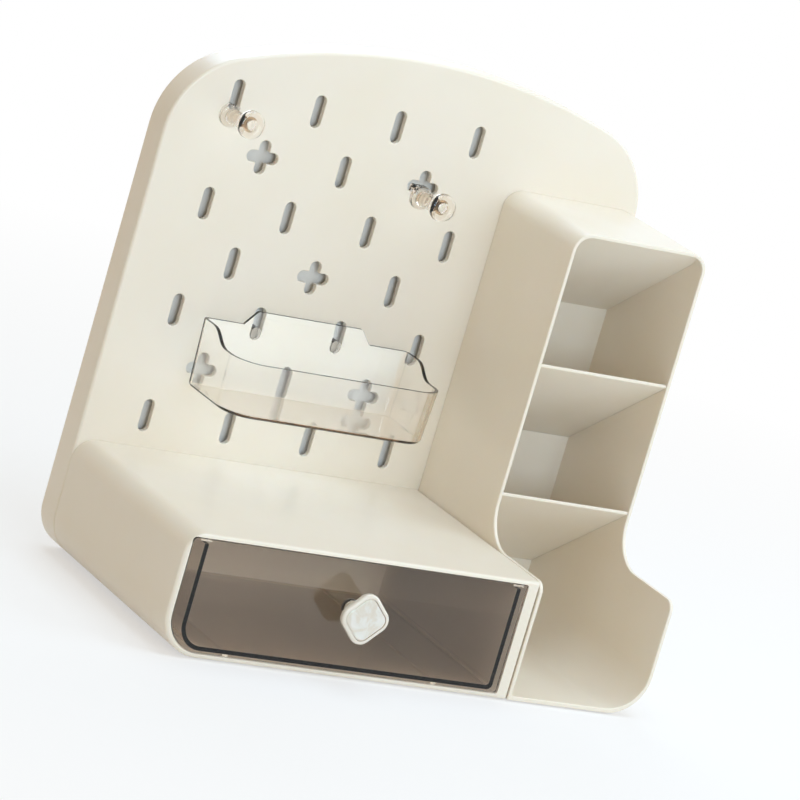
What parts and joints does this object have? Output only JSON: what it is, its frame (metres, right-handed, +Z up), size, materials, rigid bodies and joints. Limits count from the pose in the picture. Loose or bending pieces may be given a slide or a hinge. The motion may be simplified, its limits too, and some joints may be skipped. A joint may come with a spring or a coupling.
{
  "type": "pegboard desk organizer",
  "caption": "Desk organizer: arched pegboard with clear hooks and a hanging tray, a drawer case with a smoky drawer, and an open tower with slanted dividers.",
  "frame": {"origin": "middle of the footprint's bounding box, on the surface that the rubber pads stand on", "axes": "+X to the right as the user faces it, +Y to the back, +Z up; the pegboard's face lies in an XZ plane"},
  "size_m": [0.28, 0.1746, 0.2852],
  "materials": {
    "ivory_plastic": "soft gloss",
    "knob_ivory": "gloss",
    "pearl_inlay": "pearly gloss",
    "smoky_plastic": "clear smoky gloss",
    "clear_plastic": "clear gloss",
    "grey_plastic": "matte",
    "screw_steel": "zinc plated",
    "pad_rubber": "matte"
  },
  "bodies": {
    "case": {"pegboard_panel": "ivory_plastic", "panel_rear_cover": "grey_plastic", "rear_cover_screws": "screw_steel", "drawer_housing": "ivory_plastic", "housing_screws": "screw_steel", "housing_washers": "screw_steel", "tower_shell": "ivory_plastic", "tower_screws": "screw_steel", "tower_washers": "screw_steel", "lower_divider": "ivory_plastic", "upper_divider": "ivory_plastic", "rubber_pads": "pad_rubber"},
    "drawer": {"drawer_box": "smoky_plastic", "knob_body": "knob_ivory", "knob_inlay": "pearl_inlay", "knob_screw": "screw_steel", "knob_washer": "screw_steel"},
    "tray": {"hanging_tray": "clear_plastic"},
    "slot_hook": {"slot_peg_hook": "clear_plastic"},
    "clover_hook": {"clover_peg_hook": "clear_plastic"}
  },
  "joints": [
    {"name": "drawer_slide", "type": "slide", "parent": "case", "child": "drawer", "axis": [0, -1, 0], "range_m": [0, 0.102]},
    {"name": "tray_lift", "type": "slide", "parent": "case", "child": "tray", "axis": [0, 0, 1], "range_m": [0, 0.0095]},
    {"name": "slot_hook_lift", "type": "slide", "parent": "case", "child": "slot_hook", "axis": [0, 0, 1], "range_m": [0, 0.009]},
    {"name": "clover_hook_lift", "type": "slide", "parent": "case", "child": "clover_hook", "axis": [0, 0, 1], "range_m": [0, 0.0025]}
  ]
}
